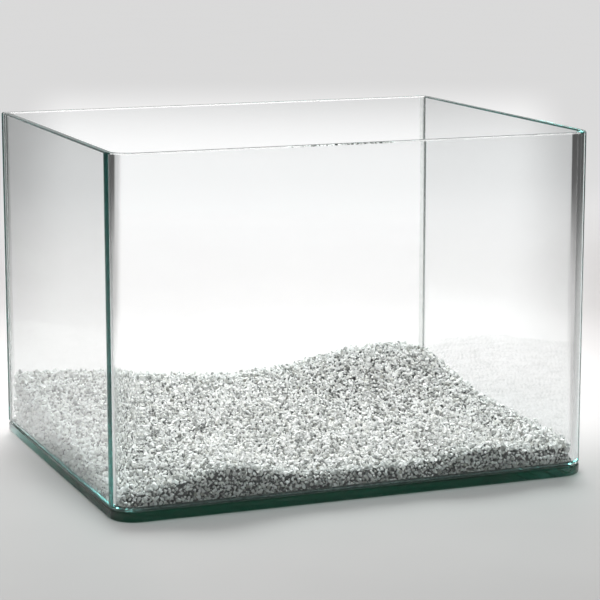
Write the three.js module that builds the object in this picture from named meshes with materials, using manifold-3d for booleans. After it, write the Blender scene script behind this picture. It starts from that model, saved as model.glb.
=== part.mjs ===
// Open-top glass aquarium tank with a bed of gravel.
// One bent pane makes the front and both sides, a flat pane closes the rear, and both stand on
// a base pane. Beads of silicone join them, and the gravel lies loose inside.
// Millimetres, +Z up, +X to the right along the front, front facing -Y.
// The origin is the centre of the footprint, on the underside of the base pane.

import * as THREE from "three";
import { mergeVertices } from "three/addons/utils/BufferGeometryUtils.js";
import Module from "manifold-3d";

const wasm = await Module();
wasm.setup();

// Outside of the tank.
const tankWidth = 400;
const tankDepth = 320;
const tankHeight = 280;
const cornerRadius = 20;

// Glass.
const wallThickness = 6;
const baseThickness = 8;
const edgeChamfer = 1;
const arcSegments = 8;

// Silicone: the film between two panes, and the fillet inside the corner that they make.
const filmThickness = 1;
const filmRecess = 1;
const filletLeg = 3.5;
const insideCornerRadius = 4.5;
const filletToe = 0.2;
const filletSegments = 3;
const fitGap = 0.05;
const beadGap = 0.3;

// Gravel.
const gravelGap = 0.3;
const gravelCell = 10;
const gravelLevel = 24.6;
const gravelMounds = [
  { x: -200, y: 170, rise: 31, spreadX: 200, spreadY: 175 },
  { x: 150, y: 150, rise: 29.2, spreadX: 100, spreadY: 97 },
  { x: -105, y: -155, rise: 11.5, spreadX: 38, spreadY: 100 },
  { x: 110, y: -155, rise: 7, spreadX: 35, spreadY: 150 },
  { x: -200, y: -150, rise: -4, spreadX: 30, spreadY: 60 },
  { x: 200, y: -60, rise: 5, spreadX: 50, spreadY: 90 },
];

// Places that follow from the sizes above.
const sideX = tankWidth / 2;
const endY = tankDepth / 2;
const arcCentreX = sideX - cornerRadius;
const arcCentreY = cornerRadius - endY;
const wallBottom = baseThickness + filmThickness;
const rearFaceY = endY - wallThickness;
const bentPaneRearY = rearFaceY - filmThickness;
const filletTop = baseThickness + filletLeg;

// Materials.

function glassMaterial() {
  return new THREE.MeshStandardMaterial({
    color: 0xbfdcd3,
    roughness: 0.03,
    metalness: 0,
    transparent: true,
    opacity: 0.35,
  });
}

function siliconeMaterial() {
  return new THREE.MeshStandardMaterial({ color: 0xc9cdca, roughness: 0.35, metalness: 0 });
}

function gravelMaterial() {
  return new THREE.MeshStandardMaterial({ color: 0xb7bab4, roughness: 0.95, metalness: 0 });
}

// Solids that can be cut and joined.

function toSolid(geometry) {
  const bare = geometry.clone();
  bare.deleteAttribute("normal");
  bare.deleteAttribute("uv");
  const merged = mergeVertices(bare);
  const mesh = new wasm.Mesh({
    numProp: 3,
    vertProperties: new Float32Array(merged.attributes.position.array),
    triVerts: new Uint32Array(merged.index.array),
  });
  return new wasm.Manifold(mesh);
}

function toGeometry(solid) {
  const mesh = solid.getMesh();
  const geometry = new THREE.BufferGeometry();
  geometry.setAttribute("position", new THREE.BufferAttribute(mesh.vertProperties, 3));
  geometry.setIndex(new THREE.BufferAttribute(mesh.triVerts, 1));
  geometry.computeVertexNormals();
  return geometry;
}

// Plan outlines.

// The front and the two sides of the footprint, moved in by inset, from rear left to rear right.
function footprintWalls(inset, rear) {
  const x = sideX - inset;
  const front = inset - endY;
  const radius = cornerRadius - inset;
  const shape = new THREE.Shape();
  shape.moveTo(-x, rear);
  shape.lineTo(-x, arcCentreY);
  shape.absarc(-arcCentreX, arcCentreY, radius, Math.PI, 1.5 * Math.PI, false);
  shape.lineTo(arcCentreX, front);
  shape.absarc(arcCentreX, arcCentreY, radius, 1.5 * Math.PI, 2 * Math.PI, false);
  shape.lineTo(x, rear);
  return shape;
}

// The footprint moved in by inset on every side: round front corners, square rear ones.
function footprint(inset) {
  const shape = footprintWalls(inset, endY - inset);
  shape.closePath();
  return shape;
}

// The inside of the walls moved in by gap, with the rear corners rounded off clear of the fillets.
function insideOutline(gap) {
  const inset = wallThickness + gap;
  const x = sideX - inset - insideCornerRadius;
  const y = endY - inset - insideCornerRadius;
  const shape = footprintWalls(inset, y);
  shape.absarc(x, y, insideCornerRadius, 0, 0.5 * Math.PI, false);
  shape.lineTo(-x, endY - inset);
  shape.absarc(-x, y, insideCornerRadius, 0.5 * Math.PI, Math.PI, false);
  shape.closePath();
  return shape;
}

// The bent pane from above: a U that opens to the rear.
function bentPaneOutline() {
  const inner = sideX - wallThickness;
  const innerRadius = cornerRadius - wallThickness;
  const shape = new THREE.Shape();
  shape.moveTo(-sideX, bentPaneRearY);
  shape.lineTo(-sideX, arcCentreY);
  shape.absarc(-arcCentreX, arcCentreY, cornerRadius, Math.PI, 1.5 * Math.PI, false);
  shape.lineTo(arcCentreX, -endY);
  shape.absarc(arcCentreX, arcCentreY, cornerRadius, 1.5 * Math.PI, 2 * Math.PI, false);
  shape.lineTo(sideX, bentPaneRearY);
  shape.lineTo(inner, bentPaneRearY);
  shape.lineTo(inner, arcCentreY);
  shape.absarc(arcCentreX, arcCentreY, innerRadius, 0, -0.5 * Math.PI, true);
  shape.lineTo(-arcCentreX, wallThickness - endY);
  shape.absarc(-arcCentreX, arcCentreY, innerRadius, 1.5 * Math.PI, Math.PI, true);
  shape.lineTo(-inner, bentPaneRearY);
  shape.closePath();
  return shape;
}

function rectangleOutline(lowX, lowY, highX, highY) {
  const shape = new THREE.Shape();
  shape.moveTo(lowX, lowY);
  shape.lineTo(highX, lowY);
  shape.lineTo(highX, highY);
  shape.lineTo(lowX, highY);
  shape.closePath();
  return shape;
}

// Upright solids between two heights.

function prism(shape, bottom, top) {
  const geometry = new THREE.ExtrudeGeometry(shape, {
    depth: top - bottom,
    bevelEnabled: false,
    curveSegments: arcSegments,
  });
  geometry.translate(0, 0, bottom);
  return geometry;
}

// A prism whose edges at both ends are taken off by size, in steps round the edge.
function edgedPrism(shape, bottom, top, size, steps) {
  const geometry = new THREE.ExtrudeGeometry(shape, {
    depth: top - bottom - 2 * size,
    bevelThickness: size,
    bevelSize: size,
    bevelOffset: -size,
    bevelSegments: steps,
    curveSegments: arcSegments,
  });
  geometry.translate(0, 0, bottom + size);
  return geometry;
}

// Glass.

function pane(shape, bottom, top) {
  return edgedPrism(shape, bottom, top, edgeChamfer, 1);
}

function basePane() {
  return pane(footprint(0), 0, baseThickness);
}

function bentPane() {
  return pane(bentPaneOutline(), wallBottom, tankHeight);
}

function rearPane() {
  return pane(rectangleOutline(-sideX, rearFaceY, sideX, endY), wallBottom, tankHeight);
}

// Silicone.

// What is left free inside the walls from bottom up, with its lower edge rounded off by the
// fillets. gap moves its sides in.
function freeSpace(gap, bottom) {
  const top = bottom + tankHeight;
  return toSolid(edgedPrism(insideOutline(gap), bottom, top, filletLeg, filletSegments));
}

// The whole ring of silicone round the base: the film under the walls and the fillet inside.
function baseRing() {
  const film = toSolid(prism(footprint(filmRecess), baseThickness, wallBottom));
  const fillet = toSolid(prism(footprint(wallThickness + fitGap), baseThickness, filletTop));
  return film.add(fillet).subtract(freeSpace(fitGap, baseThickness - filletToe));
}

// The length of the ring inside a plan rectangle, as one bead.
function baseBead(lowX, lowY, highX, highY) {
  const length = toSolid(prism(rectangleOutline(lowX, lowY, highX, highY), 0, tankHeight));
  return toGeometry(baseRing().intersect(length));
}

const beadFrontY = arcCentreY;
const beadRearY = rearFaceY - filletLeg;

function frontBaseBead() {
  return baseBead(-tankWidth, -tankDepth, tankWidth, beadFrontY - beadGap / 2);
}

function rearBaseBead() {
  return baseBead(-tankWidth, beadRearY + beadGap / 2, tankWidth, tankDepth);
}

// side is -1 for the left and 1 for the right.
function sideBaseBead(side) {
  const lowX = Math.min(0, side * tankWidth);
  const highX = Math.max(0, side * tankWidth);
  return baseBead(lowX, beadFrontY + beadGap / 2, highX, beadRearY - beadGap / 2);
}

// The upright bead where an end of the bent pane meets the rear pane.
function rearCornerBead(side) {
  const innerX = side * (sideX - wallThickness);
  const film = rectangleOutline(
    Math.min(innerX, side * (sideX - filmRecess)),
    bentPaneRearY,
    Math.max(innerX, side * (sideX - filmRecess)),
    rearFaceY,
  );
  const fillet = new THREE.Shape();
  const legX = innerX - side * filletLeg;
  const legY = rearFaceY - filletLeg;
  fillet.moveTo(innerX + side * filmThickness, rearFaceY);
  fillet.lineTo(legX, rearFaceY);
  fillet.absarc(legX, legY, filletLeg, 0.5 * Math.PI, side > 0 ? 0 : Math.PI, side > 0);
  fillet.lineTo(innerX, bentPaneRearY);
  fillet.lineTo(innerX + side * filmThickness, bentPaneRearY);
  fillet.closePath();
  const top = tankHeight - filmRecess;
  const filmSolid = toSolid(prism(film, wallBottom + beadGap, top));
  const filletSolid = toSolid(prism(fillet, filletTop + beadGap, top));
  return toGeometry(filmSolid.add(filletSolid));
}

// Gravel.

function gravelHeight(x, y) {
  let height = gravelLevel;
  for (const mound of gravelMounds) {
    const alongX = (x - mound.x) / mound.spreadX;
    const alongY = (y - mound.y) / mound.spreadY;
    height += mound.rise * Math.exp(-alongX * alongX - alongY * alongY);
  }
  return height;
}

// A block over the whole footprint, its top raised to the surface of the gravel.
function gravelBlock() {
  const columns = tankWidth / gravelCell;
  const rows = tankDepth / gravelCell;
  const geometry = new THREE.BoxGeometry(tankWidth, tankDepth, tankHeight, columns, rows, 1);
  const position = geometry.attributes.position;
  for (let i = 0; i < position.count; i += 1) {
    if (position.getZ(i) > 0) {
      position.setZ(i, gravelHeight(position.getX(i), position.getY(i)));
    }
  }
  return toSolid(geometry);
}

function gravelBed() {
  return toGeometry(gravelBlock().intersect(freeSpace(gravelGap, baseThickness + gravelGap)));
}

// The tank.

const tank = new THREE.Group();

function addPart(name, geometry, material) {
  const mesh = new THREE.Mesh(geometry, material);
  mesh.name = name;
  tank.add(mesh);
}

addPart("base_pane", basePane(), glassMaterial());
addPart("bent_front_and_side_pane", bentPane(), glassMaterial());
addPart("rear_pane", rearPane(), glassMaterial());
addPart("front_base_bead", frontBaseBead(), siliconeMaterial());
addPart("rear_base_bead", rearBaseBead(), siliconeMaterial());
addPart("left_base_bead", sideBaseBead(-1), siliconeMaterial());
addPart("right_base_bead", sideBaseBead(1), siliconeMaterial());
addPart("rear_left_corner_bead", rearCornerBead(-1), siliconeMaterial());
addPart("rear_right_corner_bead", rearCornerBead(1), siliconeMaterial());
addPart("gravel_bed", gravelBed(), gravelMaterial());

export default tank;
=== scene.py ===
"""Open-top glass aquarium with bent front corners and a bed of gravel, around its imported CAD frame.

Metres, in the CAD frame: +X to the right along the front, +Y to the rear, +Z up.
"""

import math

import bmesh
import bpy
import numpy as np
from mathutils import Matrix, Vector
from mathutils.bvhtree import BVHTree
from mathutils.kdtree import KDTree


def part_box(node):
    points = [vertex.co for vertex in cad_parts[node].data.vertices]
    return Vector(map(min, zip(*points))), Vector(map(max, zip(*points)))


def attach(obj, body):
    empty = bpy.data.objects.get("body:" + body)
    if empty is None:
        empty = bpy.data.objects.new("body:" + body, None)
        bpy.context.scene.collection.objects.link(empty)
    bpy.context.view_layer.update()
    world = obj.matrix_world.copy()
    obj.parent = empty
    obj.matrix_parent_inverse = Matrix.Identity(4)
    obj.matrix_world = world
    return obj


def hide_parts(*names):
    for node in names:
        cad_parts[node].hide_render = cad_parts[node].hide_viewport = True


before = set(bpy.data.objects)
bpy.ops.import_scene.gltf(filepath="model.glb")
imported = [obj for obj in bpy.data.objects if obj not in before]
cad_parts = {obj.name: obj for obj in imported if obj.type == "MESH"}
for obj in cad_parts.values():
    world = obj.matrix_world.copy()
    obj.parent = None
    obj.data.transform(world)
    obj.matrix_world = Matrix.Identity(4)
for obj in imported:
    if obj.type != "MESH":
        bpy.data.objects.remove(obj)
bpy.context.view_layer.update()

MM = 0.001

# ---------------------------------------------------------------------------
# Sizes, from the frame where it holds them
# ---------------------------------------------------------------------------

BASE_LOW, BASE_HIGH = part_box("base_pane")
BENT_LOW, BENT_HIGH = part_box("bent_front_and_side_pane")
REAR_LOW, REAR_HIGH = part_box("rear_pane")
CORNER_LOW, CORNER_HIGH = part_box("rear_left_corner_bead")
FRONT_BEAD_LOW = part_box("front_base_bead")[0]
SIDE_BEAD_LOW, SIDE_BEAD_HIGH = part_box("left_base_bead")
GRAVEL_LOW, GRAVEL_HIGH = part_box("gravel_bed")

SIDE_X = BASE_HIGH.x
FRONT_Y = BASE_LOW.y
REAR_Y = BASE_HIGH.y
BASE_TOP = BASE_HIGH.z
WALL_BOTTOM = BENT_LOW.z
RIM_Z = BENT_HIGH.z
WALL = REAR_HIGH.y - REAR_LOW.y
REAR_FACE_Y = REAR_LOW.y
LEG_END_Y = BENT_HIGH.y

CORNER_RADIUS = 20 * MM
EDGE = 1.0 * MM
ARC_STEPS = 48
ARC_GUARD = 2 * MM

ARC_X = SIDE_X - CORNER_RADIUS
ARC_Y = FRONT_Y + CORNER_RADIUS


# ---------------------------------------------------------------------------
# Node helpers
# ---------------------------------------------------------------------------

def node_tree(name):
    """A new material with an empty node tree, and its output."""
    material = bpy.data.materials.new(name)
    material.use_nodes = True
    tree = material.node_tree
    tree.nodes.clear()
    return material, tree, tree.nodes.new("ShaderNodeOutputMaterial")


def add_node(tree, kind, **settings):
    """A node with its attributes and its unlinked inputs set by name."""
    node = tree.nodes.new(kind)
    for key, value in settings.items():
        if hasattr(node, key):
            setattr(node, key, value)
        else:
            node.inputs[key.replace("_", " ")].default_value = value
    return node


def maths(tree, operation, first, second=None):
    """A Math node on sockets or plain numbers."""
    node = tree.nodes.new("ShaderNodeMath")
    node.operation = operation
    for socket, value in zip(node.inputs, (first, second)):
        if value is None:
            continue
        if isinstance(value, (int, float)):
            socket.default_value = value
        else:
            tree.links.new(value, socket)
    return node.outputs[0]


def ranged(tree, value, low, high):
    """A 0 to 1 socket mapped to low to high."""
    node = tree.nodes.new("ShaderNodeMapRange")
    tree.links.new(value, node.inputs["Value"])
    node.inputs["To Min"].default_value = low
    node.inputs["To Max"].default_value = high
    return node.outputs["Result"]


def span(tree, value, start, end, low, high):
    """A socket that eases from low at start to high at end."""
    node = tree.nodes.new("ShaderNodeMapRange")
    node.interpolation_type = "SMOOTHSTEP"
    tree.links.new(value, node.inputs["Value"])
    node.inputs["From Min"].default_value = start
    node.inputs["From Max"].default_value = end
    node.inputs["To Min"].default_value = low
    node.inputs["To Max"].default_value = high
    return node.outputs["Result"]


def noise(tree, scale, detail=3.0, stretch=None):
    """A noise texture in object space."""
    place = tree.nodes.new("ShaderNodeTexCoord")
    texture = tree.nodes.new("ShaderNodeTexNoise")
    texture.inputs["Scale"].default_value = scale
    texture.inputs["Detail"].default_value = detail
    source = place.outputs["Object"]
    if stretch is not None:
        mapping = tree.nodes.new("ShaderNodeMapping")
        mapping.inputs["Scale"].default_value = stretch
        tree.links.new(source, mapping.inputs["Vector"])
        source = mapping.outputs["Vector"]
    tree.links.new(source, texture.inputs["Vector"])
    return texture.outputs["Fac"]


def bump(tree, height, strength, distance):
    """A normal that follows a height socket."""
    node = tree.nodes.new("ShaderNodeBump")
    node.inputs["Strength"].default_value = strength
    node.inputs["Distance"].default_value = distance
    tree.links.new(height, node.inputs["Height"])
    return node.outputs["Normal"]


def ramp(tree, value, stops):
    """A colour ramp over (place, colour) stops."""
    node = tree.nodes.new("ShaderNodeValToRGB")
    while len(node.color_ramp.elements) < len(stops):
        node.color_ramp.elements.new(0.5)
    for element, (place, colour) in zip(node.color_ramp.elements, stops):
        element.position = place
        element.color = (*colour, 1)
    tree.links.new(value, node.inputs["Fac"])
    return node.outputs["Color"]


# ---------------------------------------------------------------------------
# Materials
# ---------------------------------------------------------------------------

GLASS_IOR = 1.52
GLASS_TINT = (0.995, 0.979, 0.982)
WALL_LOSS = (6.2, 2.4, 2.7)
BASE_LOSS = (21.0, 7.4, 9.4)
LIGHT_THROUGH_FACE = (0.955, 0.963, 0.96)


def lamp_side(tree, shader, colour):
    """The given shader for the eye, and a clear stand-in for lamp light and for scattered light."""
    clear = add_node(tree, "ShaderNodeBsdfTransparent", Color=(*colour, 1))
    path = tree.nodes.new("ShaderNodeLightPath")
    either = maths(tree, "MAXIMUM", path.outputs["Is Shadow Ray"], path.outputs["Is Diffuse Ray"])
    mix = tree.nodes.new("ShaderNodeMixShader")
    tree.links.new(either, mix.inputs[0])
    tree.links.new(shader, mix.inputs[1])
    tree.links.new(clear.outputs[0], mix.inputs[2])
    return mix.outputs[0]


def glass_volume(tree, out, losses):
    """Absorption that leaves a pane clear across its thickness and teal along its length."""
    loss = max(losses)
    volume = tree.nodes.new("ShaderNodeVolumeAbsorption")
    volume.inputs["Color"].default_value = (*[1 - part / loss for part in losses], 1)
    volume.inputs["Density"].default_value = loss
    tree.links.new(volume.outputs[0], out.inputs["Volume"])


def glass_shader(tree):
    shader = add_node(tree, "ShaderNodeBsdfPrincipled", Base_Color=(*GLASS_TINT, 1))
    shader.inputs["Transmission Weight"].default_value = 1.0
    shader.inputs["IOR"].default_value = GLASS_IOR
    return shader


def glass_material(name, losses):
    """Clear float glass, faintly wavy as rolled and bent sheet is."""
    material, tree, out = node_tree(name)
    glass = glass_shader(tree)
    wipe_marks = noise(tree, 22.0, 4.0, (1.0, 1.0, 0.4))
    tree.links.new(ranged(tree, wipe_marks, 0.0, 0.012), glass.inputs["Roughness"])
    tree.links.new(bump(tree, noise(tree, 9.0, 1.0), 0.05, 0.4 * MM), glass.inputs["Normal"])
    tree.links.new(lamp_side(tree, glass.outputs[0], LIGHT_THROUGH_FACE), out.inputs["Surface"])
    glass_volume(tree, out, losses)
    return material


def ground_edge_material(name, losses):
    """The cut edges of the glass, ground and left satin, with the fine scratches of the wheel."""
    material, tree, out = node_tree(name)
    glass = glass_shader(tree)
    scratches = noise(tree, 900.0, 3.0)
    tree.links.new(ranged(tree, scratches, 0.3, 0.5), glass.inputs["Roughness"])
    tree.links.new(bump(tree, scratches, 0.3, 0.1 * MM), glass.inputs["Normal"])
    tree.links.new(lamp_side(tree, glass.outputs[0], LIGHT_THROUGH_FACE), out.inputs["Surface"])
    glass_volume(tree, out, losses)
    return material


SILICONE_IOR = 1.12
SILICONE_CLEAR = ((0.86, 0.88, 0.87), (0.95, 0.96, 0.95))
# Painted shade: a dark tint for the clear base beads, standing in for the shade around them, not a dark
# sealant.
SILICONE_SHADE_TINT = ((0.10, 0.13, 0.12), (0.20, 0.24, 0.22))
LIGHT_THROUGH_SILICONE = (0.8, 0.82, 0.8)


def silicone_material(name, colours, clearness):
    """Clear sealant, cloudy with tiny bubbles and satin on its tooled face.

    It wets the glass in life, so it refracts weakly here, as sealant does against glass and not air.
    """
    material, tree, out = node_tree(name)
    shader = add_node(tree, "ShaderNodeBsdfPrincipled")
    cloud = noise(tree, 260.0, 4.0)
    colour = ramp(tree, cloud, tuple(zip((0.3, 0.7), colours)))
    tree.links.new(colour, shader.inputs["Base Color"])
    tree.links.new(ranged(tree, cloud, 0.08, 0.22), shader.inputs["Roughness"])
    shader.inputs["IOR"].default_value = SILICONE_IOR
    shader.inputs["Transmission Weight"].default_value = clearness
    tree.links.new(bump(tree, noise(tree, 420.0, 3.0), 0.25, 0.2 * MM), shader.inputs["Normal"])
    tree.links.new(lamp_side(tree, shader.outputs[0], LIGHT_THROUGH_SILICONE), out.inputs["Surface"])
    return material


STONE_COOL = (
    (0.05, (0.17, 0.18, 0.175)),
    (0.35, (0.42, 0.435, 0.425)),
    (0.7, (0.70, 0.71, 0.705)),
    (1.0, (0.93, 0.935, 0.93)),
)
STONE_WARM = (
    (0.05, (0.19, 0.175, 0.14)),
    (0.35, (0.42, 0.41, 0.35)),
    (0.7, (0.69, 0.68, 0.62)),
    (1.0, (0.91, 0.90, 0.85)),
)


def gravel_material():
    """Crushed light grey stone. Each grain has a shade and a warmth of its own, with fine specks."""
    material, tree, out = node_tree("crushed_stone")
    shader = add_node(tree, "ShaderNodeBsdfPrincipled")
    grain = add_node(tree, "ShaderNodeAttribute", attribute_name="grain")
    parts = tree.nodes.new("ShaderNodeSeparateColor")
    tree.links.new(grain.outputs["Color"], parts.inputs["Color"])
    specks = noise(tree, 1500.0, 3.0)
    shade = maths(tree, "ADD", parts.outputs["Red"], maths(tree, "MULTIPLY", specks, 0.22))
    cool = ramp(tree, shade, STONE_COOL)
    warm = ramp(tree, shade, STONE_WARM)
    mix = tree.nodes.new("ShaderNodeMix")
    mix.data_type = "RGBA"
    tree.links.new(parts.outputs["Green"], mix.inputs["Factor"])
    tree.links.new(cool, mix.inputs[6])
    tree.links.new(warm, mix.inputs[7])
    tree.links.new(mix.outputs[2], shader.inputs["Base Color"])
    tree.links.new(ranged(tree, specks, 0.72, 0.95), shader.inputs["Roughness"])
    tree.links.new(bump(tree, noise(tree, 1100.0, 4.0), 0.6, 0.25 * MM), shader.inputs["Normal"])
    tree.links.new(shader.outputs[0], out.inputs["Surface"])
    return material


def gravel_core_material():
    """The stones deep in the bed, painted near black as shade, since hardly any light gets in."""
    material, tree, out = node_tree("deep_gravel_painted_shade")
    shader = add_node(tree, "ShaderNodeBsdfPrincipled", Roughness=1.0)
    lumps = noise(tree, 300.0, 4.0)
    # Painted shade: a near-black colour for the shade deep in the bed.
    colour = ramp(tree, lumps, ((0.35, (0.015, 0.018, 0.016)), (0.7, (0.05, 0.055, 0.052))))
    tree.links.new(colour, shader.inputs["Base Color"])
    tree.links.new(bump(tree, lumps, 1.0, 1.5 * MM), shader.inputs["Normal"])
    tree.links.new(shader.outputs[0], out.inputs["Surface"])
    return material


# ---------------------------------------------------------------------------
# Mesh helpers
# ---------------------------------------------------------------------------

SHARP_ANGLE = math.radians(30)


def make_object(name, vertices, faces, material, smooth=True):
    """A mesh object whose faces shade smoothly except across sharp edges."""
    mesh = bpy.data.meshes.new(name)
    mesh.from_pydata([tuple(v) for v in vertices], [], [tuple(f) for f in faces])
    mesh.validate()
    mesh.materials.append(material)
    if smooth:
        mesh.shade_smooth()
        mesh.set_sharp_from_angle(angle=SHARP_ANGLE)
    piece = bpy.data.objects.new(name, mesh)
    bpy.context.scene.collection.objects.link(piece)
    return piece


def declare(piece, slot, *nodes):
    """Hangs a piece under the root body and hides the CAD nodes it stands for. The slot, its finish, is
    not used.
    """
    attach(piece, "root")
    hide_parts(*nodes)


def bridge(first, second):
    """Quads between two closed loops of vertex numbers."""
    count = len(first)
    return [(first[i], first[(i + 1) % count], second[(i + 1) % count], second[i]) for i in range(count)]


def arc_angles(start, end):
    return [start + (end - start) * i / ARC_STEPS for i in range(ARC_STEPS + 1)]


def front_stations(rear_end):
    """Places on the tank's outer face from rear left round the front to rear right.

    Each is a plan point and its inward direction. Straight faces get an extra place just beside
    each bend, so that a smooth bend leaves the flat glass flat.
    """
    stations = [((-SIDE_X, rear_end), (1, 0)), ((-SIDE_X, ARC_Y + ARC_GUARD), (1, 0))]
    for angle in arc_angles(math.pi, 1.5 * math.pi):
        out = (math.cos(angle), math.sin(angle))
        stations.append(
            ((-ARC_X + CORNER_RADIUS * out[0], ARC_Y + CORNER_RADIUS * out[1]), (-out[0], -out[1]))
        )
    stations.append(((-ARC_X + ARC_GUARD, FRONT_Y), (0, 1)))
    mirrored = [((-x, y), (-inward_x, inward_y)) for (x, y), (inward_x, inward_y) in reversed(stations)]
    return stations + mirrored


def sweep(stations, section):
    """Vertices and faces of a closed section carried along stations.

    A section point is (distance inward from the station, height). The section may be a function
    of the station's number, for a shape that varies along the way.
    """
    vertices = []
    rings = []
    for number, ((x, y), (inward_x, inward_y)) in enumerate(stations):
        points = section(number) if callable(section) else section
        start = len(vertices)
        for inward, z in points:
            vertices.append((x + inward * inward_x, y + inward * inward_y, z))
        rings.append(list(range(start, len(vertices))))
    faces = []
    for first, second in zip(rings, rings[1:]):
        faces += bridge(first, second)
    faces.append(tuple(reversed(rings[0])))
    faces.append(tuple(rings[-1]))
    return vertices, faces


def joined(*shells):
    """Several (vertices, faces) shells as one."""
    vertices = []
    faces = []
    for shell_vertices, shell_faces in shells:
        start = len(vertices)
        vertices += shell_vertices
        faces += [tuple(start + i for i in face) for face in shell_faces]
    return vertices, faces


def outward(vertices, faces):
    """The same shell with its faces turned outward."""
    v = [Vector(p) for p in vertices]
    volume = 0.0
    for face in faces:
        for second, third in zip(face[1:], face[2:]):
            volume += v[face[0]].dot(v[second].cross(v[third]))
    return vertices, faces if volume > 0 else [tuple(reversed(face)) for face in faces]


# ---------------------------------------------------------------------------
# Glass
# ---------------------------------------------------------------------------

def slab(outline, bottom, top):
    """A flat pane with ground edges, from a plan outline that can be moved in by an inset."""
    vertices = []
    rings = []
    for inset, z in ((EDGE, bottom), (0.0, bottom + EDGE), (0.0, top - EDGE), (EDGE, top)):
        start = len(vertices)
        vertices += [(x, y, z) for x, y in outline(inset)]
        rings.append(list(range(start, len(vertices))))
    faces = []
    for first, second in zip(rings, rings[1:]):
        faces += bridge(first, second)
    faces.append(tuple(reversed(rings[0])))
    faces.append(tuple(rings[-1]))
    return outward(vertices, faces)


def base_outline(inset):
    """The footprint: round at the front, with small flats cut off its rear corners."""
    rear = REAR_Y - inset
    cut = EDGE / 2
    stations = front_stations(rear - cut)
    points = [(x + inset * ix, y + inset * iy) for (x, y), (ix, iy) in stations]
    x = SIDE_X - inset
    return points + [(x - cut, rear), (-x + cut, rear)]


def rear_outline(inset):
    x = SIDE_X - inset
    low = REAR_FACE_Y + inset
    high = REAR_Y - inset
    return [(-x, high), (-x, low), (x, low), (x, high)]


def bent_section():
    """The bent pane's upright cross-section: wall thickness by height, all four edges ground."""
    low = WALL_BOTTOM
    high = RIM_Z
    return [
        (EDGE, low),
        (WALL - EDGE, low),
        (WALL, low + EDGE),
        (WALL, high - EDGE),
        (WALL - EDGE, high),
        (EDGE, high),
        (0.0, high - EDGE),
        (0.0, low + EDGE),
    ]


def grind_edges(piece, ground, is_edge):
    """Gives the ground finish to the faces whose normal and centre is_edge accepts."""
    piece.data.materials.append(ground)
    for face in piece.data.polygons:
        if is_edge(face.normal, face.center):
            face.material_index = 1


def build_glass():
    polished = glass_material("wall_glass", WALL_LOSS)
    ground = ground_edge_material("wall_glass_ground_edge", WALL_LOSS)
    base_polished = glass_material("base_glass", BASE_LOSS)
    base_ground = ground_edge_material("base_glass_ground_edge", BASE_LOSS)
    base = make_object("glass_base", *slab(base_outline, 0.0, BASE_TOP), base_polished)
    declare(base, "float_glass", "base_pane")
    grind_edges(base, base_ground, lambda normal, centre: abs(normal.x) > 0.99 or normal.y > 0.6)
    rear = make_object("glass_rear", *slab(rear_outline, WALL_BOTTOM, RIM_Z), polished)
    declare(rear, "float_glass", "rear_pane")
    grind_edges(rear, ground, lambda normal, centre: abs(normal.x) > 0.6)
    bent = outward(*sweep(front_stations(LEG_END_Y), bent_section()))
    front = make_object("glass_bent_front_and_sides", *bent, polished)
    declare(front, "float_glass", "bent_front_and_side_pane")
    grind_edges(front, ground, lambda normal, centre: normal.y > 0.9 and centre.y > LEG_END_Y - MM)


# ---------------------------------------------------------------------------
# Silicone
# ---------------------------------------------------------------------------

BEAD_STEP = 4 * MM
BEAD_GAP = 0.1 * MM
FILM_GAP = 0.02 * MM
FILM_DRAW = 0.3 * MM
FILM_RECESS = FRONT_BEAD_LOW.y - FRONT_Y
FILLET = CORNER_HIGH.x + SIDE_X - WALL
FILLET_STEPS = 8
FILLET_WANDER = 0.12


def wander(position, seed):
    """A hand-run bead's width along its length, about 1."""
    swell = math.sin(position * 61 + seed) + 0.6 * math.sin(position * 143 + 2.1 * seed)
    return 1 - FILLET_WANDER * (0.5 + 0.25 * swell)


def film_section():
    """The film under a wall, its outer edge drawn in a little between the two panes."""
    low = BASE_TOP + FILM_GAP
    high = WALL_BOTTOM - FILM_GAP
    middle = (low + high) / 2
    return [
        (FILM_RECESS, low),
        (WALL - EDGE, low),
        (WALL - EDGE, high),
        (FILM_RECESS, high),
        (FILM_RECESS + FILM_DRAW, middle),
    ]


def fillet_section(size):
    """A tooled concave fillet in the angle between a wall and the base."""
    corner = WALL + BEAD_GAP
    low = BASE_TOP + FILM_GAP
    high = WALL_BOTTOM - FILM_GAP
    points = [(WALL - EDGE, low), (WALL - EDGE, high), (corner, WALL_BOTTOM + EDGE)]
    for step in range(FILLET_STEPS + 1):
        angle = 0.5 * math.pi * step / FILLET_STEPS
        points.append((corner + size * (1 - math.cos(angle)), low + size * (1 - math.sin(angle))))
    return points


def straight_stations(start, end, inward):
    """Places along a straight run, close enough together for the bead to wander."""
    start = Vector(start)
    end = Vector(end)
    count = max(2, round((end - start).length / BEAD_STEP))
    return [(tuple(start.lerp(end, i / count)), inward) for i in range(count + 1)]


def base_bead(name, node, film_stations, fillet_stations, seed, material):
    def fillet(number):
        return fillet_section(FILLET * wander(number * BEAD_STEP, seed))

    film = outward(*sweep(film_stations, film_section()))
    inner = outward(*sweep(fillet_stations, fillet))
    piece = make_object(name, *joined(film, inner), material)
    declare(piece, "silicone", node)


def dense_front_stations():
    """Stations round the two bends and along the front, with the front cut into short steps."""
    stations = [s for s in front_stations(ARC_Y) if s[0][1] <= ARC_Y]
    half = len(stations) // 2
    left = stations[:half]
    right = stations[half:]
    between = straight_stations(left[-1][0], right[0][0], (0, 1))
    return left + between[1:-1] + right


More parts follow.
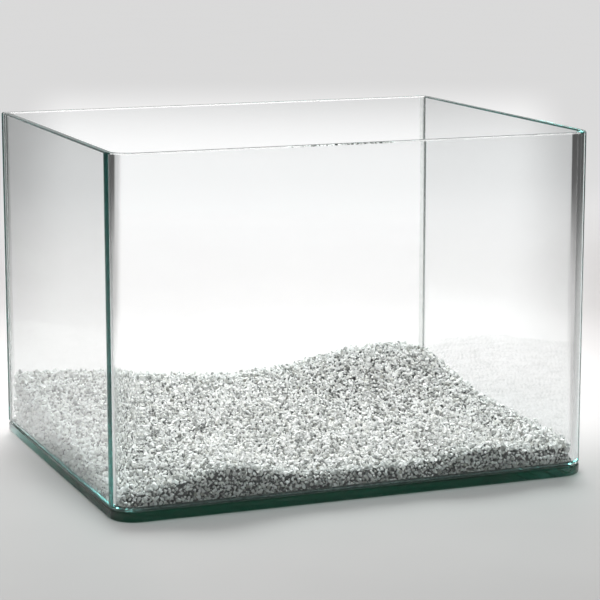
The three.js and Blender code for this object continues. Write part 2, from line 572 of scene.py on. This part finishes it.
def corner_bead(side, name, node, material):
    """The upright bead between an end of the bent pane and the rear pane."""
    inner_x = SIDE_X - WALL
    outer_x = SIDE_X - FILM_RECESS
    low_z, high_z = CORNER_LOW.z, CORNER_HIGH.z
    count = round((high_z - low_z) / BEAD_STEP)
    vertices = []
    rings = []
    for step in range(count + 1):
        z = low_z + (high_z - low_z) * step / count
        size = FILLET * wander(z, 1.7 + side)
        corner_x = inner_x - BEAD_GAP
        corner_y = REAR_FACE_Y - FILM_GAP
        film_y = LEG_END_Y + FILM_GAP
        plan = [(outer_x, corner_y), (outer_x - FILM_DRAW, (corner_y + film_y) / 2), (outer_x, film_y)]
        plan.append((corner_x, film_y))
        for i in range(FILLET_STEPS + 1):
            angle = 0.5 * math.pi * i / FILLET_STEPS
            plan.append((corner_x - size * (1 - math.cos(angle)), corner_y - size * (1 - math.sin(angle))))
        start = len(vertices)
        vertices += [(side * x, y, z) for x, y in plan]
        rings.append(list(range(start, len(vertices))))
    faces = []
    for first, second in zip(rings, rings[1:]):
        faces += bridge(first, second)
    faces.append(tuple(reversed(rings[0])))
    faces.append(tuple(rings[-1]))
    piece = make_object(name, *outward(vertices, faces), material)
    declare(piece, "silicone", node)


def build_silicone():
    """The upright beads are clear. Those round the base get painted shade, a dark tint standing in for the
    shade they sit in.
    """
    clear = silicone_material("clear_silicone", SILICONE_CLEAR, 0.95)
    dark = silicone_material("base_silicone", SILICONE_SHADE_TINT, 0.5)
    front = dense_front_stations()
    base_bead("silicone_front_base", "front_base_bead", front, front, 0.4, dark)
    side_end = SIDE_BEAD_HIGH.y
    for side, name, node, seed in (
        (-1, "silicone_left_base", "left_base_bead", 1.9),
        (1, "silicone_right_base", "right_base_bead", 3.3),
    ):
        start = (side * SIDE_X, SIDE_BEAD_LOW.y)
        film = straight_stations(start, (side * SIDE_X, side_end), (-side, 0))
        base_bead(name, node, film, film, seed, dark)
    film = straight_stations((-SIDE_X + FILM_RECESS, REAR_Y), (SIDE_X - FILM_RECESS, REAR_Y), (0, -1))
    reach = SIDE_X - WALL - BEAD_GAP
    inner = straight_stations((-reach, REAR_Y), (reach, REAR_Y), (0, -1))
    base_bead("silicone_rear_base", "rear_base_bead", film, inner, 5.1, dark)
    corner_bead(-1, "silicone_rear_left_corner", "rear_left_corner_bead", clear)
    corner_bead(1, "silicone_rear_right_corner", "rear_right_corner_bead", clear)


# ---------------------------------------------------------------------------
# Gravel
# ---------------------------------------------------------------------------

GRAIN = 3.8 * MM
GRAIN_SPACING = 3.2 * MM
SHELL = 6.0 * MM
GRAIN_SHAPES = 40
GRAIN_POINTS = 10
SPREADING_ROUNDS = 4
GLASS_CLEARANCE = 0.2 * MM
GRAVEL_PARTS = 6
DARK_SHARE = 0.20
HEAP_ROWS = 78
HEAP_COLUMNS = 98
BURIED = 0.28 * GRAIN
CENTRE_TO_GLASS = 0.42 * GRAIN
FIRST_TO_GLASS = 0.3 * GRAIN
LAYER_SPACING = GRAIN_SPACING * 0.9
SCATTER = 0.42
KEPT_APART = 0.95 * GRAIN_SPACING
PUSH_SHARE = 0.3
NEIGHBOURS = 7
GRAVEL_SEED = 20
# Middle and spread of the two shades of stone, and of the stones' sizes on a log scale.
DARK_SHADE = (0.28, 0.12)
PALE_SHADE = (0.92, 0.08)
SIZE_SPREAD = (0.02, 0.22)
SIZE_LIMITS = (0.60, 1.50)


class Heap:
    """The space the gravel fills, read from the CAD solid of the bed."""

    def __init__(self):
        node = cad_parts["gravel_bed"]
        mesh = node.data
        self.tree = BVHTree.FromPolygons(
            [v.co.copy() for v in mesh.vertices], [tuple(p.vertices) for p in mesh.polygons]
        )
        self.half_x = GRAVEL_HIGH.x
        self.front = GRAVEL_LOW.y
        self.rear = GRAVEL_HIGH.y
        self.floor = GRAVEL_LOW.z
        self.radius = CORNER_RADIUS - WALL
        rows = np.linspace(self.front + MM, self.rear - MM, HEAP_ROWS)
        columns = np.linspace(-self.half_x + MM, self.half_x - MM, HEAP_COLUMNS)
        self.rows = rows
        self.columns = columns
        self.heights = np.array([[self._height(x, y) for x in columns] for y in rows])

    def _height(self, x, y):
        hit = self.tree.ray_cast(Vector((x, y, 1.0)), Vector((0, 0, -1)))
        if hit[0] is None or hit[0].z < self.floor + MM:
            inner = Vector((x, y, 0)) * 0.97
            hit = self.tree.ray_cast(Vector((inner.x, inner.y, 1.0)), Vector((0, 0, -1)))
        return hit[0].z

    def height(self, x, y):
        """The surface height at arrays of places, between the sampled ones."""
        column_step = self.columns[1] - self.columns[0]
        column = np.clip((x - self.columns[0]) / column_step, 0, HEAP_COLUMNS - 1.001)
        row = np.clip((y - self.rows[0]) / (self.rows[1] - self.rows[0]), 0, HEAP_ROWS - 1.001)
        c = column.astype(int)
        r = row.astype(int)
        u = column - c
        v = row - r
        h = self.heights
        lower = h[r, c] * (1 - u) + h[r, c + 1] * u
        upper = h[r + 1, c] * (1 - u) + h[r + 1, c + 1] * u
        return lower * (1 - v) + upper * v

    def wall_distance(self, x, y):
        """How far places are from the nearest glass wall, negative outside."""
        flat = np.minimum(self.half_x - np.abs(x), np.minimum(self.rear - y, y - self.front))
        corner_x = np.abs(x) - (self.half_x - self.radius)
        corner_y = (self.front + self.radius) - y
        in_corner = (corner_x > 0) & (corner_y > 0)
        rounded = self.radius - np.hypot(corner_x, corner_y)
        return np.where(in_corner, rounded, flat)

    def kept_inside(self, points, clearance):
        """Points moved just enough to lie inside the glass and above the base."""
        limit_x = self.half_x - clearance
        front = self.front + clearance
        points[:, 0] = np.clip(points[:, 0], -limit_x, limit_x)
        points[:, 1] = np.clip(points[:, 1], front, self.rear - clearance)
        points[:, 2] = np.maximum(points[:, 2], self.floor)
        centre_x = self.half_x - self.radius
        centre_y = self.front + self.radius
        dx = np.abs(points[:, 0]) - centre_x
        dy = centre_y - points[:, 1]
        length = np.hypot(dx, dy)
        limit = self.radius - clearance
        out = (dx > 0) & (dy > 0) & (length > limit)
        scale = np.where(out, limit / np.maximum(length, 1e-9), 1.0)
        sign = np.sign(points[:, 0])
        points[:, 0] = np.where(out, sign * (centre_x + dx * scale), points[:, 0])
        points[:, 1] = np.where(out, centre_y - dy * scale, points[:, 1])
        return points


def grain_centres(heap, rng):
    """Places for the grains that can be seen: a shell under the surface and against the walls."""
    columns = np.arange(-heap.half_x, heap.half_x, GRAIN_SPACING)
    rows = np.arange(heap.front, heap.rear, GRAIN_SPACING)
    layers = np.arange(heap.floor, GRAVEL_HIGH.z + GRAIN_SPACING, LAYER_SPACING)
    grid = np.stack(np.meshgrid(columns, rows, layers, indexing="ij"), axis=-1).reshape(-1, 3)
    odd = np.round((grid[:, 2] - heap.floor) / LAYER_SPACING).astype(int) % 2
    grid[:, :2] += odd[:, None] * GRAIN_SPACING / 2
    grid += rng.uniform(-SCATTER, SCATTER, grid.shape) * GRAIN_SPACING
    depth = heap.height(grid[:, 0], grid[:, 1]) - grid[:, 2]
    wall = heap.wall_distance(grid[:, 0], grid[:, 1])
    off_base = grid[:, 2] > heap.floor + FIRST_TO_GLASS
    inside = (depth > BURIED) & (wall > FIRST_TO_GLASS) & off_base
    visible = (depth < SHELL) | (wall < SHELL)
    return grid[inside & visible]


def spread_apart(centres, heap):
    """Grains pushed off their nearest neighbours until the gaps even out."""
    for _ in range(SPREADING_ROUNDS):
        tree = KDTree(len(centres))
        for number, centre in enumerate(centres):
            tree.insert(centre, number)
        tree.balance()
        moved = centres.copy()
        for number, centre in enumerate(centres):
            for place, other, distance in tree.find_n(centre, NEIGHBOURS):
                if other == number or distance >= KEPT_APART or distance < 1e-9:
                    continue
                push = PUSH_SHARE * (KEPT_APART - distance) / distance
                moved[number] += push * (centre - np.array(place))
        surface = heap.height(moved[:, 0], moved[:, 1]) - BURIED
        moved[:, 2] = np.minimum(moved[:, 2], surface)
        centres = heap.kept_inside(moved, CENTRE_TO_GLASS)
    return centres


def hull_shape(rng):
    """One crushed-stone shape about one unit long: the convex hull of points on a lumpy ball."""
    directions = rng.normal(size=(GRAIN_POINTS, 3))
    directions /= np.linalg.norm(directions, axis=1)[:, None]
    proportions = np.array([1.0, rng.uniform(0.72, 0.95), rng.uniform(0.58, 0.85)])
    points = directions * proportions * rng.uniform(0.42, 0.54, (GRAIN_POINTS, 1))
    shape = bmesh.new()
    for point in points:
        shape.verts.new(point)
    bmesh.ops.convex_hull(shape, input=shape.verts)
    for loose in [v for v in shape.verts if not v.link_faces]:
        shape.verts.remove(loose)
    bmesh.ops.triangulate(shape, faces=shape.faces)
    shape.verts.index_update()
    vertices = np.array([v.co for v in shape.verts])
    faces = np.array([[v.index for v in f.verts] for f in shape.faces])
    shape.free()
    return vertices, faces


def random_turns(rng, count):
    """Random rotation matrices, from unit quaternions."""
    q = rng.normal(size=(count, 4))
    q /= np.linalg.norm(q, axis=1)[:, None]
    w, x, y, z = q.T
    return np.stack(
        [
            np.stack([1 - 2 * (y * y + z * z), 2 * (x * y - z * w), 2 * (x * z + y * w)], axis=1),
            np.stack([2 * (x * y + z * w), 1 - 2 * (x * x + z * z), 2 * (y * z - x * w)], axis=1),
            np.stack([2 * (x * z - y * w), 2 * (y * z + x * w), 1 - 2 * (x * x + y * y)], axis=1),
        ],
        axis=1,
    )


def gravel_mesh(name, centres, shapes, heap, rng):
    """One mesh of many grains, with each grain's shade and warmth in a colour attribute."""
    count = len(centres)
    turns = random_turns(rng, count)
    sizes = GRAIN * np.clip(rng.lognormal(*SIZE_SPREAD, count), *SIZE_LIMITS)
    picks = rng.integers(0, len(shapes), count)
    dark = rng.random(count) < DARK_SHARE
    shades = np.where(dark, rng.normal(*DARK_SHADE, count), rng.normal(*PALE_SHADE, count))
    shades = np.clip(shades, 0.05, 1.0)
    warmths = np.clip(rng.beta(1.2, 4.0, count), 0, 1)
    vertex_parts = []
    face_parts = []
    colour_parts = []
    start = 0
    for number in range(count):
        vertices, faces = shapes[picks[number]]
        placed = vertices @ turns[number].T * sizes[number] + centres[number]
        vertex_parts.append(placed)
        face_parts.append(faces + start)
        colour_parts.append(np.tile((shades[number], warmths[number], 0.0, 1.0), (len(vertices), 1)))
        start += len(vertices)
    vertices = heap.kept_inside(np.concatenate(vertex_parts), GLASS_CLEARANCE)
    faces = np.concatenate(face_parts)
    mesh = bpy.data.meshes.new(name)
    mesh.vertices.add(len(vertices))
    mesh.vertices.foreach_set("co", vertices.astype(np.float32).ravel())
    mesh.loops.add(faces.size)
    mesh.loops.foreach_set("vertex_index", faces.astype(np.int32).ravel())
    mesh.polygons.add(len(faces))
    mesh.polygons.foreach_set("loop_start", np.arange(0, faces.size, 3, dtype=np.int32))
    mesh.update(calc_edges=True)
    mesh.shade_flat()
    attribute = mesh.color_attributes.new("grain", "FLOAT_COLOR", "POINT")
    attribute.data.foreach_set("color", np.concatenate(colour_parts).astype(np.float32).ravel())
    return mesh


CORE_DEPTH = 5.0 * MM
CORE_CELLS = (52, 42)


def gravel_core(heap):
    """A closed lump a few millimetres inside the heap, painted near black as shade, so that no gap between
    grains shows through.
    """
    reach_x = heap.half_x - CORE_DEPTH
    columns = np.linspace(-reach_x, reach_x, CORE_CELLS[0] + 1)
    rows = np.linspace(heap.front + CORE_DEPTH, heap.rear - CORE_DEPTH, CORE_CELLS[1] + 1)
    x, y = np.meshgrid(columns, rows)
    top = np.stack([x, y, heap.height(x.ravel(), y.ravel()).reshape(x.shape) - CORE_DEPTH], axis=-1)
    top = top.reshape(-1, 3)
    clearance = CORE_DEPTH - GLASS_CLEARANCE
    top = heap.kept_inside(top, clearance)
    bottom = top.copy()
    bottom[:, 2] = heap.floor + MM
    vertices = np.concatenate([top, bottom])
    width = CORE_CELLS[0] + 1
    height = CORE_CELLS[1] + 1
    under = len(top)
    faces = []
    for r in range(height - 1):
        for c in range(width - 1):
            a = r * width + c
            quad = (a, a + 1, a + 1 + width, a + width)
            faces.append(quad)
            faces.append(tuple(under + i for i in reversed(quad)))
    rim = list(range(width))
    rim += [r * width + width - 1 for r in range(1, height)]
    rim += [(height - 1) * width + c for c in range(width - 2, -1, -1)]
    rim += [r * width for r in range(height - 2, 0, -1)]
    for a, b in zip(rim, rim[1:] + rim[:1]):
        faces.append((b, a, under + a, under + b))
    return [tuple(v) for v in vertices], faces


def build_gravel(material, core_material):
    rng = np.random.default_rng(GRAVEL_SEED)
    heap = Heap()
    shapes = [hull_shape(rng) for _ in range(GRAIN_SHAPES)]
    centres = spread_apart(grain_centres(heap, rng), heap)
    order = np.argsort(centres[:, 0], kind="stable")
    for part, members in enumerate(np.array_split(order, GRAVEL_PARTS)):
        name = f"gravel_grains_{part + 1}"
        mesh = gravel_mesh(name, centres[members], shapes, heap, rng)
        mesh.materials.append(material)
        grains = bpy.data.objects.new(name, mesh)
        bpy.context.scene.collection.objects.link(grains)
        declare(grains, "gravel", "gravel_bed")
    core = make_object("gravel_core", *gravel_core(heap), core_material, smooth=False)
    declare(core, "gravel", "gravel_bed")


# ---------------------------------------------------------------------------
# Stage
# ---------------------------------------------------------------------------

CAMERA_PLACE = (-0.6833, -1.7542, 0.4851)
CAMERA_HEADING = math.radians(21.61)
CAMERA_DROP = math.radians(10.67)
CAMERA_LENS = 137.46


def build_camera():
    """A long lens to the left of the tank's front, a little above its rim."""
    data = bpy.data.cameras.new("camera")
    data.lens = CAMERA_LENS
    data.sensor_width = 36
    data.clip_end = 60
    camera = bpy.data.objects.new("camera", data)
    camera.location = CAMERA_PLACE
    camera.rotation_euler = (math.pi / 2 - CAMERA_DROP, 0, -CAMERA_HEADING)
    bpy.context.scene.collection.objects.link(camera)
    bpy.context.scene.camera = camera


FLOOR_RADIUS = 12.0
FLOOR_DROP = 0.2 * MM

# The painted pool of light on the floor, given off by the floor itself as a glow: the strengths of its
# parts, the distances from the tank's centre over which each comes in or ends, and the half widths over
# which it fades to the sides.
GLOW_HEADING = math.radians(21.6)
GLOW_NEAR = 0.31
GLOW_DIP = 0.29
GLOW_FAR = 0.60
GLOW_MIDDLE = 0.40
GLOW_FRONT = 0.12
GLOW_SPREAD = 0.15
NEAR_FROM_TO = (-0.10, 0.15)
DIP_FROM_TO = (0.26, 0.70)
FAR_FROM_TO = (0.65, 1.65)
MIDDLE_FROM_TO = (0.15, 0.70)
MIDDLE_ENDS = (1.9, 3.5)
MIDDLE_HALF_WIDTH = (0.17, 0.29)
WINDOW_HALF_WIDTH = (0.25, 0.37)
FRONT_FROM_TO = (1.0, 3.0)


def floor_material():
    """A pale matt sheet that glows: a painted pool of light behind the tank and a faint painted glow far
    in front.
    """
    material, tree, out = node_tree("studio_floor")
    place = tree.nodes.new("ShaderNodeTexCoord")
    turn = tree.nodes.new("ShaderNodeMapping")
    turn.inputs["Rotation"].default_value = (0, 0, GLOW_HEADING)
    tree.links.new(place.outputs["Object"], turn.inputs["Vector"])
    parts = tree.nodes.new("ShaderNodeSeparateXYZ")
    tree.links.new(turn.outputs["Vector"], parts.inputs[0])
    behind = parts.outputs["Y"]
    aside = maths(tree, "ABSOLUTE", parts.outputs["X"])
    shader = add_node(tree, "ShaderNodeBsdfPrincipled", Roughness=0.9)
    shader.inputs["Specular IOR Level"].default_value = 0.0
    fibre = noise(tree, 6.0, 2.0)
    tree.links.new(
        ramp(tree, fibre, ((0.3, (0.333, 0.324, 0.322)), (0.7, (0.345, 0.336, 0.334)))),
        shader.inputs["Base Color"],
    )
    near = span(tree, behind, *NEAR_FROM_TO, 0.0, GLOW_NEAR)
    dip = span(tree, behind, *DIP_FROM_TO, 0.0, GLOW_DIP)
    far = span(tree, behind, *FAR_FROM_TO, 0.0, GLOW_FAR)
    edge = maths(tree, "ADD", maths(tree, "SUBTRACT", near, dip), far)
    rise = span(tree, behind, *MIDDLE_FROM_TO, 0.0, GLOW_MIDDLE)
    length = maths(tree, "MULTIPLY", rise, span(tree, behind, *MIDDLE_ENDS, 1.0, 0.0))
    narrow = maths(tree, "SUBTRACT", aside, maths(tree, "MULTIPLY", behind, 0.1))
    middle = maths(tree, "MULTIPLY", span(tree, narrow, *MIDDLE_HALF_WIDTH, 1.0, 0.0), length)
    spread = maths(tree, "SUBTRACT", aside, maths(tree, "MULTIPLY", behind, GLOW_SPREAD))
    window = span(tree, spread, *WINDOW_HALF_WIDTH, 1.0, 0.0)
    glow = maths(tree, "MULTIPLY", maths(tree, "ADD", edge, middle), window)
    front = span(tree, maths(tree, "MULTIPLY", behind, -1.0), *FRONT_FROM_TO, 0.0, GLOW_FRONT)
    # Painted light: the floor's own emission paints the pool and the front glow. It is no lamp.
    shader.inputs["Emission Color"].default_value = (1, 1, 1, 1)
    tree.links.new(maths(tree, "ADD", glow, front), shader.inputs["Emission Strength"])
    tree.links.new(shader.outputs[0], out.inputs["Surface"])
    return material


def build_floor():
    sides = 96
    rings = [0.4, 0.9, 2.0, 5.0, FLOOR_RADIUS]
    vertices = [(0, 0, -FLOOR_DROP)]
    for radius in rings:
        for i in range(sides):
            angle = 2 * math.pi * i / sides
            vertices.append((radius * math.cos(angle), radius * math.sin(angle), -FLOOR_DROP))
    faces = [(0, 1 + i, 1 + (i + 1) % sides) for i in range(sides)]
    for ring in range(len(rings) - 1):
        inner = [1 + ring * sides + i for i in range(sides)]
        outer = [1 + (ring + 1) * sides + i for i in range(sides)]
        faces += [(a, d, c, b) for a, b, c, d in bridge(inner, outer)]
    floor = make_object("studio_floor", vertices, faces, floor_material())


WORLD_FRONT = 0.07
WORLD_SIDE = 0.27
WORLD_BACK = 0.70
WORLD_TOP = 0.30
SIDE_FROM_TO = (-0.6, 0.2)
BACK_FROM_TO = (0.55, 0.95)
TOP_FROM_TO = (0.05, 0.6)


def build_world():
    """Soft surroundings: pale behind and beside the tank, dark in front of it, where nothing stands."""
    world = bpy.data.worlds.new("studio")
    world.use_nodes = True
    tree = world.node_tree
    tree.nodes.clear()
    out = tree.nodes.new("ShaderNodeOutputWorld")
    place = tree.nodes.new("ShaderNodeTexCoord")
    parts = tree.nodes.new("ShaderNodeSeparateXYZ")
    tree.links.new(place.outputs["Generated"], parts.inputs[0])
    turned = tree.nodes.new("ShaderNodeVectorMath")
    turned.operation = "DOT_PRODUCT"
    turned.inputs[1].default_value = (math.sin(GLOW_HEADING), math.cos(GLOW_HEADING), 0.0)
    tree.links.new(place.outputs["Generated"], turned.inputs[0])
    towards_back = turned.outputs["Value"]
    sides = span(tree, towards_back, *SIDE_FROM_TO, WORLD_FRONT, WORLD_SIDE)
    back = span(tree, towards_back, *BACK_FROM_TO, 0.0, WORLD_BACK - WORLD_SIDE)
    around = maths(tree, "ADD", sides, back)
    up = span(tree, parts.outputs["Z"], *TOP_FROM_TO, 0.0, 1.0)
    down_part = maths(tree, "MULTIPLY", around, maths(tree, "SUBTRACT", 1.0, up))
    up_part = maths(tree, "MULTIPLY", up, WORLD_TOP)
    background = tree.nodes.new("ShaderNodeBackground")
    tree.links.new(maths(tree, "ADD", down_part, up_part), background.inputs["Strength"])
    tree.links.new(background.outputs[0], out.inputs["Surface"])
    bpy.context.scene.world = world


SOFTBOXES = {
    "back_softbox": {"place": (0.74, 1.86, 1.2), "size": (1.7, 0.8), "watts": 20.0, "spread": 60},
    "top_softbox": {"place": (-0.35, 0.05, 1.4), "size": (0.70, 0.70), "watts": 13.5, "spread": 150},
}
LIGHT_AIM = Vector((0.05, 0.0, 0.05))


def build_lights():
    """A large softbox low behind the tank, and a smaller one overhead, neither seen in reflections."""
    for name, box in SOFTBOXES.items():
        data = bpy.data.lights.new(name, "AREA")
        data.shape = "RECTANGLE"
        data.size, data.size_y = box["size"]
        data.energy = box["watts"]
        data.spread = math.radians(box["spread"])
        light = bpy.data.objects.new(name, data)
        light.location = box["place"]
        light.rotation_euler = (LIGHT_AIM - light.location).to_track_quat("-Z", "Y").to_euler()
        light.visible_glossy = False
        bpy.context.scene.collection.objects.link(light)


def set_up_view():
    """Plain tone curve, and enough bounces for light that runs along inside the glass."""
    scene = bpy.context.scene
    scene.view_settings.view_transform = "Standard"
    scene.view_settings.look = "None"
    scene.cycles.max_bounces = 80
    scene.cycles.glossy_bounces = 80
    scene.cycles.transmission_bounces = 24
    scene.cycles.transparent_max_bounces = 48
    scene.cycles.diffuse_bounces = 2
    scene.cycles.caustics_reflective = False
    scene.cycles.caustics_refractive = False


# ---------------------------------------------------------------------------
# The scene
# ---------------------------------------------------------------------------

build_camera()
build_glass()
build_silicone()
build_gravel(gravel_material(), gravel_core_material())
build_floor()
build_world()
build_lights()
set_up_view()
